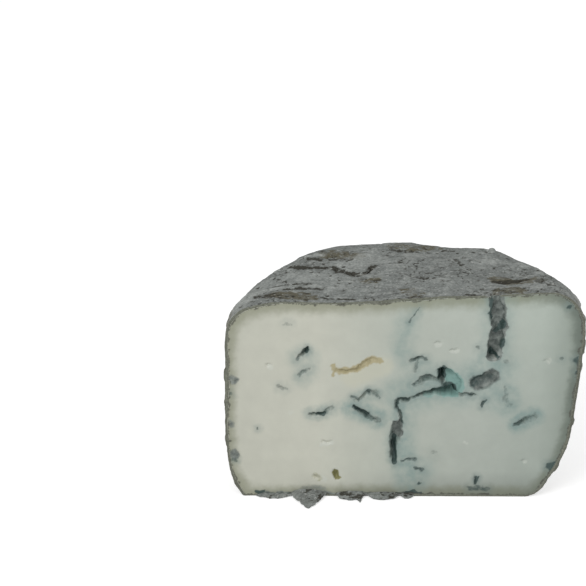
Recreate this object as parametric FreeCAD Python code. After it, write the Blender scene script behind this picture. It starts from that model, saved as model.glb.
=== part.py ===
"""Half a wheel of blue goat cheese.

A soft-ripened wheel, about 1.5 kg when whole, has been cut straight down through its middle. What is left is
one solid: a half drum with uneven, rounded edges, whose flat cut face shows what the blue mould has opened
inside. The needle that lets air to the mould has left a channel that the knife laid open from the top rind
down. Below it the curd has parted along a ragged seam, and smaller slits and eyes lie about it.

The model is in millimetres. The cut face looks along -Y, +X is to its right and +Z is up. The origin is under
the middle of the part's box, on the surface that it stands on.
"""
import FreeCAD, Part
import math
import os

V = FreeCAD.Vector

# ---- The wheel, before it is cut --------------------------------------------------------------------------
WHEEL_RADIUS = 75.0
WHEEL_HEIGHT = 90.7
TOP_RISE = 2.6              # how much higher the top is at each 60 mm to the right
TOP_RISE_OVER = 60.0
SQUEEZE = 0.7               # how much of the underside the board has pressed flat

# The wheel's outline from the foot up, as stops at the right and at the left of the cut face. It goes over
# from the one to the other round the wheel. Each stop is (inset from the radius, level). Levels are mm above
# the board in the foot, shares of the height in the wall, and mm under the top in the crown.
FOOT_CURVE = (
    ((24.0, 0.0), (12.0, 0.0)),
    ((17.9, 0.8), (9.2, 0.8)),
    ((14.3, 6.3), (6.4, 4.2)),
    ((11.6, 11.6), (3.8, 8.6)),
    ((7.8, 17.5), (1.6, 15.5)),
)
WALL_CURVE = (
    ((4.4, 0.295), (0.9, 0.270)),
    ((3.1, 0.400), (0.5, 0.390)),
    ((2.2, 0.505), (0.1, 0.510)),
    ((0.7, 0.610), (-0.1, 0.620)),
    ((0.3, 0.710), (-0.1, 0.720)),
)
CROWN_CURVE = (
    ((-0.8, 18.0), (0.2, 15.5)),
    ((0.1, 12.0), (1.6, 9.0)),
    ((2.4, 6.8), (4.6, 4.2)),
    ((6.4, 2.2), (9.6, 1.0)),
    ((13.0, 0.0), (16.0, 0.0)),
)

# The net that shapes the surface: points round each ring, and rings on each of the two flats.
RING_POINTS = 60
FLAT_RINGS = 9
CENTRE_SHARE = 0.06         # the innermost ring, as a share of the flat it closes
DEGREE = 3

# Slow waves that make the rind uneven: (height, length, compass direction, climb, phase), mm and degrees.
WAVES = (
    (0.75, 58.0, 20.0, 35.0, 40.0),
    (0.65, 44.0, 115.0, -20.0, 150.0),
    (0.55, 36.0, 65.0, 60.0, 265.0),
    (0.45, 31.0, 160.0, 10.0, 75.0),
    (0.35, 29.0, -35.0, -50.0, 200.0),
)
CUT_SHARE = 0.35            # what is left of the waves where the knife went through
FULL_WAVES_AT = 28.0        # and how far from there they are whole

# Swellings of the top: (across, behind the cut, height, spread).
SWELLINGS = (
    (-35.0, 50.0, 3.2, 14.0),
    (26.0, 58.0, 1.2, 10.0),
)
SWELLS_FROM = 0.65          # the share of the height from which the wall swells with the top

# ---- What the mould and the curd have opened in the cut face ----------------------------------------------
# Places on the cut face are (across, up) in millimetres, from the axis and from the board, as they lie on a
# wheel of this radius and height. They move with the wheel when it is made larger or smaller.
DRAWN_RADIUS = 75.0
DRAWN_HEIGHT = 90.7

# Each opening runs through a few stops: (across, up, half width, depth).
OPENINGS = {
    "needle_channel": (
        (37.8, 98.1, 2.8, 3.6), (37.6, 91.3, 2.3, 3.4), (38.8, 87.5, 2.1, 3.2), (38.6, 81.9, 3.5, 3.6),
        (39.2, 79.3, 2.4, 3.4), (38.7, 75.2, 2.9, 4.0), (37.6, 69.2, 2.8, 4.4), (37.2, 65.4, 1.9, 4.6),
        (37.3, 63.6, 0.7, 2.0),
    ),
    "pocket": (
        (28.6, 51.8, 0.7, 1.0), (31.0, 52.6, 2.9, 2.5), (33.6, 53.3, 3.9, 3.0), (36.4, 55.1, 3.0, 2.6),
        (38.8, 57.8, 0.8, 1.0),
    ),
    "cave": (
        (14.8, 58.8, 0.9, 2.6), (17.2, 57.2, 2.6, 4.6), (20.0, 54.1, 3.5, 3.2), (22.1, 50.6, 2.3, 2.8),
        (22.9, 47.9, 0.8, 1.6),
    ),
    "cave_throat": (
        (16.9, 59.5, 0.5, 1.6), (16.2, 57.4, 1.3, 7.0), (15.9, 54.9, 1.1, 6.4), (17.2, 52.2, 0.9, 5.0),
    ),
    "cave_branch": (
        (4.2, 51.8, 0.4, 0.6), (7.0, 53.7, 1.0, 1.6), (9.8, 55.2, 1.5, 2.4), (12.6, 54.6, 0.7, 2.0),
        (15.4, 54.6, 0.9, 2.6),
    ),
    "seam": (
        (-2.4, 44.2, 0.6, 1.6), (-1.0, 44.9, 0.9, 2.4), (2.0, 45.0, 0.7, 2.0), (4.6, 45.8, 0.4, 1.4),
        (8.4, 47.4, 0.7, 3.2), (12.6, 48.3, 1.1, 5.2), (16.2, 48.8, 1.8, 7.2), (19.2, 49.0, 2.3, 7.6),
        (21.9, 47.9, 1.2, 4.4), (24.6, 47.3, 0.5, 2.2), (28.2, 47.2, 0.8, 1.9), (31.2, 46.5, 0.3, 0.6),
    ),
    "seam_drop": (
        (-1.6, 45.4, 0.5, 1.2), (-2.4, 42.7, 0.7, 1.8), (-1.7, 39.6, 0.6, 2.2), (-0.6, 36.1, 0.6, 2.6),
        (-0.4, 33.7, 0.6, 2.0),
    ),
    "foot_hollow": (
        (-1.6, 35.1, 0.8, 1.4), (-2.2, 32.0, 2.1, 3.0), (-2.9, 28.5, 2.3, 3.6), (-3.5, 24.4, 1.7, 4.8),
        (-3.7, 20.4, 1.4, 4.2), (-3.0, 17.3, 0.9, 2.4), (-3.4, 15.7, 0.4, 0.8),
    ),
    "twig": ((2.7, 62.6, 0.3, 0.6), (5.8, 63.8, 0.8, 1.6), (9.2, 63.8, 0.4, 0.8)),
    "twig_stem": ((6.0, 63.6, 0.5, 1.0), (5.2, 60.1, 0.4, 1.0), (4.7, 57.7, 0.3, 0.5)),
    "dry_slit": (
        (-28.4, 58.1, 1.7, 1.1), (-26.4, 57.8, 0.8, 2.2), (-19.0, 59.2, 0.9, 2.7), (-16.6, 60.7, 1.0, 2.5),
        (-14.2, 62.6, 0.9, 2.1), (-9.8, 62.5, 0.3, 0.6),
    ),
    "slanting_slit": (
        (-20.8, 41.7, 0.4, 0.8), (-17.6, 39.5, 0.9, 3.0), (-14.0, 37.0, 0.9, 2.6), (-10.8, 35.3, 0.3, 0.6),
    ),
    "upper_slit": (
        (-21.4, 46.1, 0.3, 0.6), (-18.3, 44.8, 0.5, 1.4), (-15.4, 47.6, 0.6, 1.8), (-13.0, 48.4, 0.7, 1.6),
        (-9.6, 46.0, 0.3, 0.6),
    ),
    "left_slit": (
        (-39.4, 38.2, 0.4, 0.8), (-35.0, 38.4, 0.8, 2.2), (-32.0, 39.9, 0.5, 1.2), (-29.4, 41.4, 0.3, 0.5),
    ),
    "far_slit": (
        (-44.6, 63.4, 0.3, 0.7), (-42.3, 65.9, 0.7, 2.2), (-40.6, 67.3, 1.1, 2.8), (-39.0, 67.5, 0.4, 0.8),
    ),
    "curd_eye": ((-28.7, 12.2, 0.4, 0.6), (-27.6, 9.6, 1.3, 2.1), (-26.8, 7.4, 0.6, 0.8)),
    "right_vein": (
        (47.0, 33.9, 0.4, 0.6), (50.4, 34.9, 1.1, 2.0), (53.2, 36.5, 0.7, 1.2), (55.4, 37.4, 0.3, 0.5),
    ),
    "foot_crack": ((31.0, 9.1, 0.2, 0.4), (31.4, 7.0, 0.5, 1.2), (31.2, 4.7, 0.2, 0.4)),
    "streak": ((0.4, 16.5, 0.2, 0.4), (4.0, 17.4, 0.5, 1.0), (6.6, 17.2, 0.2, 0.4)),
}

# Small shallow eyes: (across, up, half width, half height, depth).
EYES = (
    (-56.0, 60.2, 1.1, 0.8, 0.8),
    (-50.4, 50.0, 1.3, 0.6, 0.8),
    (-41.6, 57.4, 1.2, 0.9, 1.0),
    (-31.2, 25.2, 2.8, 0.8, 0.9),
    (-35.9, 8.9, 1.7, 1.1, 0.7),
    (14.4, 70.8, 2.1, 0.7, 1.0),
    (21.0, 67.6, 1.8, 0.8, 1.0),
    (33.9, 43.4, 0.8, 1.5, 1.3),
    (42.9, 45.4, 1.0, 1.5, 0.8),
    (60.2, 62.9, 1.6, 0.6, 0.8),
    (51.6, 16.7, 1.0, 0.9, 0.7),
    (13.6, 20.2, 1.4, 1.2, 0.6),
    (7.2, 12.7, 1.4, 0.5, 0.9),
)

# Folds and a hole in the top rind, through stops (across, behind the cut, half width, depth).
FOLDS = {
    "long_fold": (
        (-49.0, 41.0, 0.4, 0.6), (-44.6, 38.4, 1.0, 1.6), (-40.0, 35.4, 1.2, 2.0), (-34.6, 35.2, 0.9, 1.8),
        (-29.0, 34.4, 1.2, 2.0), (-23.4, 30.4, 0.9, 1.6), (-17.2, 26.8, 1.1, 1.9), (-14.2, 29.4, 0.9, 1.6),
        (-11.8, 34.8, 0.4, 0.6),
    ),
    "rind_hole": (
        (38.6, 16.2, 0.7, 0.9), (41.0, 16.4, 1.9, 2.4), (45.0, 17.6, 1.4, 2.2), (49.4, 17.6, 1.2, 2.0),
        (53.4, 17.2, 0.5, 0.7),
    ),
}

# Tongues of rind that the knife has dragged out under the cut face, as (across, width, thickness, reach,
# taper). A tongue whose taper is 1 narrows evenly to a point, and a smaller one is blunter.
TONGUES = (
    (-39.2, 19.0, 3.8, 12.3, 0.75),
    (-54.0, 23.0, 1.4, 3.2, 0.4),
    (-21.4, 18.0, 3.0, 4.4, 0.35),
    (-17.4, 4.6, 1.8, 7.4, 0.6),
    (-7.6, 19.0, 2.5, 4.2, 0.35),
    (2.4, 10.0, 2.0, 3.0, 0.4),
)
TONGUE_ROOT = 4.0           # how far each runs into the half, so that it is one with it
TONGUE_STATIONS = (0.0, 0.3, 0.55, 0.78, 0.92, 1.0)


def top_height(x):
    """The height of the wheel's top at a place across it."""
    return WHEEL_HEIGHT + TOP_RISE * x / TOP_RISE_OVER


def unevenness(point):
    """How far the rind stands out at a point, from the waves."""
    total = 0.0
    for height, length, compass, climb, phase in WAVES:
        turn, lift = math.radians(compass), math.radians(climb)
        along = V(math.cos(turn) * math.cos(lift), math.sin(turn) * math.cos(lift), math.sin(lift)).dot(point)
        total += height * math.sin(2 * math.pi * along / length + math.radians(phase))
    return total * (CUT_SHARE + (1 - CUT_SHARE) * min(1.0, abs(point.y) / FULL_WAVES_AT))


def swelling(x, y):
    """How far the top is swollen at a place."""
    return sum(
        height * math.exp(-((x - across) ** 2 + (y - behind) ** 2) / (2 * spread**2))
        for across, behind, height, spread in SWELLINGS
    )


def stops_at(curve, angle):
    """The stops of a curve at a compass angle, between those at the right and those at the left."""
    rightness = (1 + math.cos(angle)) / 2
    return [
        (left[0] + (right[0] - left[0]) * rightness, left[1] + (right[1] - left[1]) * rightness)
        for right, left in curve
    ]


def profile(angle):
    """The wheel's outline at a compass angle, from under its middle, up the wall and in over its top.

    Returns a list of (radius, height).
    """
    foot, wall, crown = (stops_at(curve, angle) for curve in (FOOT_CURVE, WALL_CURVE, CROWN_CURVE))
    rim_height = top_height(WHEEL_RADIUS * math.cos(angle))
    side = [(WHEEL_RADIUS - inset, level - SQUEEZE) for inset, level in foot]
    side += [(WHEEL_RADIUS - inset, level * rim_height) for inset, level in wall]
    side += [(WHEEL_RADIUS - inset, rim_height - drop) for inset, drop in crown]

    shares = [CENTRE_SHARE + (1 - CENTRE_SHARE) * i / FLAT_RINGS for i in range(FLAT_RINGS)]
    under = [(side[0][0] * share, -SQUEEZE) for share in shares]
    over = [(side[-1][0] * share, top_height(side[-1][0] * share * math.cos(angle))) for share in shares]
    return under + side + over[::-1]


def outward(points, i, angle):
    """The direction out of the surface at one point of an outline, square to its neighbours."""
    (low_radius, low_height), (high_radius, high_height) = points[i - 1], points[i + 1]
    out, up = high_height - low_height, low_radius - high_radius
    return V(out * math.cos(angle), out * math.sin(angle), up).normalize()


def net_row(angle):
    """The points of the surface's net at a compass angle: the outline, moved outwards by the unevenness.

    The first and the last close the surface under and over its middle, so they lie level all the way round.
    """
    points = profile(angle)
    row = [V(radius * math.cos(angle), radius * math.sin(angle), height) for radius, height in points]
    for i in range(1, len(row) - 1):
        share = min(1.0, max(0.0, (row[i].z / WHEEL_HEIGHT - SWELLS_FROM) / (1 - SWELLS_FROM)))
        rise = V(0, 0, swelling(row[i].x, row[i].y) * share)
        row[i] += outward(points, i, angle) * unevenness(row[i]) + rise
    row[0].z = -SQUEEZE
    row[-1].z = WHEEL_HEIGHT
    return row


def wheel():
    """The whole wheel: one smooth surface over its net, closed by a small disc below and one above."""
    net = [net_row(2 * math.pi * i / RING_POINTS - math.pi / 2) for i in range(RING_POINTS)]
    spans = len(net[0]) - DEGREE
    surface = Part.BSplineSurface()
    surface.buildFromPolesMultsKnots(
        net,
        [1] * (RING_POINTS + 1),
        [DEGREE + 1] + [1] * (spans - 1) + [DEGREE + 1],
        [float(i) for i in range(RING_POINTS + 1)],
        [float(i) for i in range(spans + 1)],
        True,
        False,
        DEGREE,
        DEGREE,
    )
    wall = surface.toShape()
    discs = [Part.Face(Part.Wire(edge)) for edge in wall.Edges if edge.isClosed()]
    shell = Part.makeShell([wall] + discs)
    shell.sewShape()
    return Part.makeSolid(shell)


def face_place(across, up, inwards=0.0):
    """The point at a place on the cut face, or so far behind it."""
    return V(across * WHEEL_RADIUS / DRAWN_RADIUS, inwards, up * WHEEL_HEIGHT / DRAWN_HEIGHT)


def top_place(across, behind):
    """The point at a place on the top rind."""
    x, y = across * WHEEL_RADIUS / DRAWN_RADIUS, behind * WHEEL_RADIUS / DRAWN_RADIUS
    return V(x, y, top_height(x) + swelling(x, y))


def opening(stops, place, inwards):
    """The space of one opening: a loft through ovals that stand across its run and reach into the cheese."""
    places = [place(first, second) for first, second, _, _ in stops]
    wires = []
    for i, (_, _, half_width, depth) in enumerate(stops):
        run = (places[min(i + 1, len(stops) - 1)] - places[max(i - 1, 0)]).normalize()
        across, down = run.cross(inwards).normalize() * half_width, inwards * depth
        longer, shorter = (across, down) if half_width > depth else (down, across)
        oval = Part.Ellipse(places[i] + longer, places[i] + shorter, places[i])
        wires.append(Part.Wire(oval.toShape()))
    return Part.makeLoft(wires, True, False)


def eye(across, up, half_width, half_height, depth):
    """A shallow eye in the cut face: a ball, stretched to its three sizes."""
    stretch = FreeCAD.Matrix()
    stretch.scale(half_width, depth, half_height)
    ball = Part.makeSphere(1.0).transformGeometry(stretch)
    ball.translate(face_place(across, up))
    return ball


def tongue(across, width, thickness, reach, taper):
    """A dragged tongue of rind: a loft of ovals that shrink and sink towards its tip."""
    wires = []
    for share in TONGUE_STATIONS:
        size = (1.02 - share) ** taper
        half_width = width / 2 * size
        half_height = min(thickness / 2 * math.sqrt(size), 0.95 * half_width)
        centre = face_place(across, 0.0, TONGUE_ROOT - (TONGUE_ROOT + reach) * share)
        centre += V(0, 0, half_height * 0.8)
        oval = Part.Ellipse(centre + V(half_width, 0, 0), centre + V(0, 0, half_height), centre)
        wires.append(Part.Wire(oval.toShape()))
    return Part.makeLoft(wires, True, False)


def keep_box():
    """The room behind the knife and above the board: what of the wheel stays."""
    side = 4 * WHEEL_RADIUS
    return Part.makeBox(side, side, 2 * WHEEL_HEIGHT, V(-side / 2, 0, 0))


def above_board():
    """All the room above the board, for the tongues, which stand out in front of the knife."""
    side = 4 * WHEEL_RADIUS
    return Part.makeBox(side, side, 2 * WHEEL_HEIGHT, V(-side / 2, -side / 2, 0))


def half_wheel():
    """The half: the wheel cut and pressed flat below, with its tongues of rind, its openings and its eyes."""
    half = wheel().common(keep_box())
    half = half.fuse([tongue(*sizes).common(above_board()) for sizes in TONGUES])
    tools = [opening(stops, face_place, V(0, 1, 0)) for stops in OPENINGS.values()]
    tools += [opening(stops, top_place, V(0, 0, -1)) for stops in FOLDS.values()]
    tools += [eye(*sizes) for sizes in EYES]
    return half.cut(tools)


def stand_on_origin(shape):
    """Moves the part so that its origin is under the middle of its box."""
    box = shape.optimalBoundingBox(False, False)
    shape.translate(V(-box.Center.x, -box.Center.y, -box.ZMin))
    return shape


def main():
    """Builds the half and writes it."""
    os.makedirs("parts", exist_ok=True)
    half = stand_on_origin(half_wheel().Solids[0])
    half.exportStep("parts/cheese_half.step")


main()
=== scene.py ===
"""Half a wheel of blue goat cheese: its looks, built round its solid form.

The half stands on its flat underside and its cut face looks along -Y. Three pieces stand for the solid. The
paste is a thick plug behind the cut face, with every opening of the solid and the mould in it. The rind is
the rest of the half, with a pocket that the paste fills. The tongue is the scrap of rind that the knife
dragged out under the cut face.
"""

import logging
import math
from dataclasses import dataclass, field
from enum import Enum
from functools import cached_property

import bmesh
import bpy
import numpy as np
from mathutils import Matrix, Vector, noise
from mathutils.bvhtree import BVHTree


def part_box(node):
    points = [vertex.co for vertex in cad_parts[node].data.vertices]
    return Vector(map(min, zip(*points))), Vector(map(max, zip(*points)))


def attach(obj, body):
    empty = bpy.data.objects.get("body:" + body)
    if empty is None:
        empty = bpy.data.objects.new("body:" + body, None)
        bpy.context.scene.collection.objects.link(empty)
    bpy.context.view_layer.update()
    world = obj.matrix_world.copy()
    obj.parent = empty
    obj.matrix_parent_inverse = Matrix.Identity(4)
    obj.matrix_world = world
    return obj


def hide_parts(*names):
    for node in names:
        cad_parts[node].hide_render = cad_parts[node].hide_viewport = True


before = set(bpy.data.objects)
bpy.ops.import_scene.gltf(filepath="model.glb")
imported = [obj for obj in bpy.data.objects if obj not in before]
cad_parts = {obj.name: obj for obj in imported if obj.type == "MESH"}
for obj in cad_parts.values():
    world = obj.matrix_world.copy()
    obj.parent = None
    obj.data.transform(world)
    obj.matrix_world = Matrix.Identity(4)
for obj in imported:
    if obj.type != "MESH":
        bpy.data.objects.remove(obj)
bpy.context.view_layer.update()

MM = 0.001
BODY = "root"
NODE = "cheese_half"
WHITE = "#ffffff"
LOG = logging.getLogger("cheese")

MATH = "ShaderNodeMath"
RANGE = "ShaderNodeMapRange"
RAMP = "ShaderNodeValToRGB"
SCALED = "ShaderNodeVectorMath"

Piece = bpy.types.Object
Material = bpy.types.Material
Tree = bpy.types.NodeTree
Node = bpy.types.Node
Socket = bpy.types.NodeSocket
Source = Node | Socket
Place = tuple[float, float]
Corner = tuple[float, float, float]
Stops = tuple[tuple[float, str], ...]


# ---- Colours and nodes -------------------------------------------------------------------------------------
def linear(code: str) -> tuple[float, float, float, float]:
    """Turns an sRGB hex colour into linear light.

    Args:
        code: the colour, such as "#c1c1b3".

    Returns:
        Red, green, blue and an alpha of 1.
    """
    parts = [int(code[i : i + 2], 16) / 255 for i in (1, 3, 5)]
    return (*(p / 12.92 if p <= 0.04045 else ((p + 0.055) / 1.055) ** 2.4 for p in parts), 1.0)


def add_node(
    tree: Tree, kind: str, inputs: dict | None = None, stops: Stops = (), **settings: object
) -> Node:
    """Adds a node to a material, with its settings, values and links.

    Args:
        tree: the material's nodes.
        kind: the node's type.
        inputs: for each socket, by name or number, a value, or the node or the output that feeds it.
        stops: a ramp's places, each with its sRGB hex colour.
        settings: the node's own properties.

    Returns:
        The node.
    """
    node = tree.nodes.new(kind)
    for name, value in settings.items():
        setattr(node, name, value)
    for socket, value in (inputs or {}).items():
        if isinstance(value, Node):
            value = next(output for output in value.outputs if output.enabled)
        if isinstance(value, Socket):
            tree.links.new(value, node.inputs[socket])
        else:
            node.inputs[socket].default_value = value
    if stops:
        elements = node.color_ramp.elements
        while len(elements) < len(stops):
            elements.new(0.5)
        for element, (position, code) in zip(elements, stops):
            element.position = position
            element.color = linear(code)
    return node


def between(value: Source, low: float, high: float, first: float = 0.0, last: float = 1.0) -> dict:
    """The inputs that turn low into first and high into last, and hold the value between them."""
    return {"Value": value, "From Min": low, "From Max": high, "To Min": first, "To Max": last}


def laid_on(
    tree: Tree,
    under: Source | str,
    over: Source | str,
    cover: Source,
    most: Source | float = 1.0,
) -> Node:
    """Lays one colour over another.

    Args:
        tree: the material's nodes.
        under: the colour below, as a node or an sRGB hex code.
        over: the colour on top.
        cover: how much of the top colour lies at a place.
        most: how much of the cover counts.

    Returns:
        The colour that shows.
    """
    share = add_node(tree, MATH, {0: cover, 1: most}, operation="MULTIPLY", use_clamp=True)
    low, high = (linear(colour) if isinstance(colour, str) else colour for colour in (under, over))
    return add_node(tree, "ShaderNodeMix", {0: share, 6: low, 7: high}, data_type="RGBA")


def broken(tree: Tree, cover: Source, dust: Source, amount: float) -> Node:
    """Breaks a layer up into specks where it is thin.

    Args:
        tree: the material's nodes.
        cover: how much of the layer lies at a place.
        dust: the pattern of the specks, about 0.5 in the mean.
        amount: how strongly the pattern breaks the layer up.

    Returns:
        The broken cover.
    """
    mixed = add_node(tree, MATH, {0: dust, 1: amount, 2: cover}, operation="MULTIPLY_ADD")
    sharp = add_node(tree, RANGE, between(mixed, 0.2 + amount / 2, 0.75 + amount / 2))
    there = add_node(tree, MATH, {0: cover, 1: 5.0}, operation="MULTIPLY", use_clamp=True)
    return add_node(tree, MATH, {0: sharp, 1: there}, operation="MULTIPLY")


def seen_by_camera(tree: Tree) -> Node:
    """Tells whether the camera sees a thing, by itself, mirrored or through glass.

    Args:
        tree: the nodes of the material or the world.

    Returns:
        A node that gives 1 there, and 0 where only light reaches it.
    """
    ray = add_node(tree, "ShaderNodeLightPath").outputs
    plain = add_node(tree, MATH, {0: ray["Is Camera Ray"], 1: ray["Is Glossy Ray"]}, operation="MAXIMUM")
    return add_node(tree, MATH, {0: plain, 1: ray["Is Transmission Ray"]}, operation="MAXIMUM")


# ---- Meshes ------------------------------------------------------------------------------------------------
def read_rows(rows: bpy.types.bpy_prop_collection, name: str) -> np.ndarray:
    """Reads three numbers for each point of a mesh.

    Args:
        rows: the mesh's vertices or their normals.
        name: what to read of each.

    Returns:
        One row for each point.
    """
    flat = np.empty(len(rows) * 3, np.float32)
    rows.foreach_get(name, flat)
    return flat.reshape(-1, 3).astype(float)


def points_of(piece: Piece) -> np.ndarray:
    """Reads a mesh's points, in metres, one to a row."""
    return read_rows(piece.data.vertices, "co")


def normals_of(piece: Piece) -> np.ndarray:
    """Reads the outward direction at each of a mesh's points."""
    return read_rows(piece.data.vertex_normals, "vector")


def move_points(piece: Piece, points: np.ndarray) -> None:
    """Puts a mesh's points at new places, in metres."""
    piece.data.vertices.foreach_set("co", points.astype(np.float32).ravel())
    piece.data.update()


def paint(piece: Piece, name: str, values: np.ndarray) -> None:
    """Stores one number for each point of a mesh, for its material to read."""
    layer = piece.data.attributes.new(name, "FLOAT", "POINT")
    layer.data.foreach_set("value", values.astype(np.float32))


def only(piece: Piece) -> None:
    """Selects one object, and nothing else, and makes it the active one.

    Args:
        piece: the object.
    """
    bpy.ops.object.select_all(action="DESELECT")
    piece.select_set(True)
    bpy.context.view_layer.objects.active = piece


def copy_of(source: Piece, name: str) -> Piece:
    """Copies a mesh into a new object at the origin, with its doubled points merged.

    Args:
        source: the object whose mesh is copied.
        name: the new object's name.

    Returns:
        The new object.
    """
    piece = bpy.data.objects.new(name, source.data.copy())
    bpy.context.scene.collection.objects.link(piece)
    piece.data.name = name
    piece.data.materials.clear()
    only(piece)
    bpy.ops.object.mode_set(mode="EDIT")
    bpy.ops.mesh.select_all(action="SELECT")
    bpy.ops.mesh.remove_doubles(threshold=0.002 * MM)
    bpy.ops.object.mode_set(mode="OBJECT")
    return piece


def block(name: str, low: Corner, high: Corner) -> Piece:
    """Makes a plain box, as a tool to cut with.

    Args:
        name: its name.
        low: its lowest corner, in metres.
        high: its highest corner.

    Returns:
        The box.
    """
    bpy.ops.object.select_all(action="DESELECT")
    bpy.ops.mesh.primitive_cube_add(size=1, location=[(a + b) / 2 for a, b in zip(low, high)])
    piece = bpy.context.active_object
    piece.name = name
    piece.scale = [b - a for a, b in zip(low, high)]
    bpy.ops.object.transform_apply(location=True, rotation=True, scale=True)
    return piece


def modify(piece: Piece, kind: str, **settings: object) -> None:
    """Adds a modifier to a piece and applies it.

    Args:
        piece: the piece.
        kind: the modifier's type.
        settings: the modifier's own properties.
    """
    modifier = piece.modifiers.new(kind.lower(), kind)
    for name, value in settings.items():
        setattr(modifier, name, value)
    only(piece)
    bpy.ops.object.modifier_apply(modifier=modifier.name)


def remesh(piece: Piece, voxel: float) -> None:
    """Gives a piece an even skin, which joins what overlaps in it."""
    modify(piece, "REMESH", mode="VOXEL", voxel_size=voxel)


def carve(piece: Piece, tool: Piece, operation: str) -> None:
    """Cuts a piece by a closed tool, or keeps what lies inside the tool, and removes the tool."""
    modify(piece, "BOOLEAN", object=tool, operation=operation, solver="MANIFOLD")
    bpy.data.objects.remove(tool)


def dress(piece: Piece, material: Material) -> None:
    """Shades a piece smooth and gives it its one material.

    Args:
        piece: the piece.
        material: what it is made of.
    """
    piece.data.shade_smooth()
    piece.data.materials.clear()
    piece.data.materials.append(material)


# ---- Unevenness --------------------------------------------------------------------------------------------
def smooth(low: float, high: float, value: np.ndarray) -> np.ndarray:
    """Goes smoothly from 0 at low to 1 at high."""
    share = np.clip((value - low) / (high - low), 0.0, 1.0)
    return share * share * (3 - 2 * share)


@dataclass(frozen=True)
class Lumps:
    """Soft lumps: how large they are, in millimetres, and a seed that gives them places of their own."""

    size: float
    seed: int

    def at(self, points: np.ndarray) -> np.ndarray:
        """How high they stand at each place, between about -1 and 1.

        Args:
            points: places in metres, one to a row.

        Returns:
            One value for each place.
        """
        shift = np.array((self.seed * 17.3, self.seed * -9.1, self.seed * 5.7))
        return np.array([noise.noise(Vector(place)) for place in points / (self.size * MM) + shift])


@dataclass(frozen=True)
class Pits:
    """Scattered pits: how far apart they are, in millimetres, and a seed."""

    spacing: float
    seed: int

    def away(self, points: np.ndarray) -> np.ndarray:
        """How far each place is from the middle of the nearest pit.

        Args:
            points: places in metres, one to a row.

        Returns:
            The distances, as shares of the spacing.
        """
        shift = np.array((self.seed * 11.9, self.seed * 3.3, self.seed * -7.7))
        scaled = points / (self.spacing * MM) + shift
        return np.array([noise.voronoi(Vector(place))[0][0] for place in scaled])


# ---- The mould in the paste and the marks of the rind ------------------------------------------------------
class Tint(Enum):
    """What a mark is. Each is a layer of its own in the paste's or the rind's material."""

    VEIN = "vein"
    STAIN = "stain"
    LINING = "lining"
    TURQUOISE = "turquoise"
    DRY = "dry"
    OLIVE = "olive"
    FLECK = "fleck"
    CREAM_AND_HIGHLIGHT = "cream_and_highlight"
    CREASE = "crease"
    BROWN = "brown"
    PALE = "pale"


@dataclass(frozen=True)
class Mark:
    """One mark on the cut face or on the top, as a brush stroke along a path.

    Places are in millimetres: (across, up) on the face and (across, behind the cut) on the top.
    """

    tint: Tint
    half_width: float
    softness: float
    strength: float
    path: tuple[Place, ...]

    def cover(self, across: np.ndarray, up: np.ndarray, spread: float = 0.0) -> np.ndarray:
        """How much of the mark lies on each place.

        Args:
            across: places across the face or the top, in millimetres.
            up: their heights, or how far behind the cut they are.
            spread: how much further its soft edge runs out.

        Returns:
            Values from 0 to the mark's strength.
        """
        nearest = np.full(across.shape, np.inf)
        path = self.path if len(self.path) > 1 else self.path * 2
        for (x0, z0), (x1, z1) in zip(path, path[1:]):
            length = max((x1 - x0) ** 2 + (z1 - z0) ** 2, 1e-9)
            along = np.clip(((across - x0) * (x1 - x0) + (up - z0) * (z1 - z0)) / length, 0, 1)
            gap = np.hypot(across - x0 - along * (x1 - x0), up - z0 - along * (z1 - z0))
            nearest = np.minimum(nearest, gap)
        outer = self.half_width + self.softness + spread
        return self.strength * (1 - smooth(self.half_width, outer, nearest))


def strokes(tint: Tint, *rows: tuple) -> tuple[Mark, ...]:
    """Makes marks of one tint.

    Args:
        tint: what the marks are.
        rows: for each mark its half width, softness and strength, then the places along its path.

    Returns:
        The marks.
    """
    return tuple(Mark(tint, *row[:3], path=row[3:]) for row in rows)


def covers(
    marks: tuple[Mark, ...], tint: Tint, across: np.ndarray, up: np.ndarray, spread: float = 0.0
) -> np.ndarray:
    """How much all the marks of one tint cover each place.

    Args:
        marks: the marks to look through.
        tint: the tint.
        across: places across the face or the top, in millimetres.
        up: their heights, or how far behind the cut they are.
        spread: how much further the marks' soft edges run out.

    Returns:
        Values from 0 to the strongest mark's strength.
    """
    total = np.zeros(across.shape)
    for mark in marks:
        if mark.tint is tint:
            total = np.maximum(total, mark.cover(across, up, spread))
    return total


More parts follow.
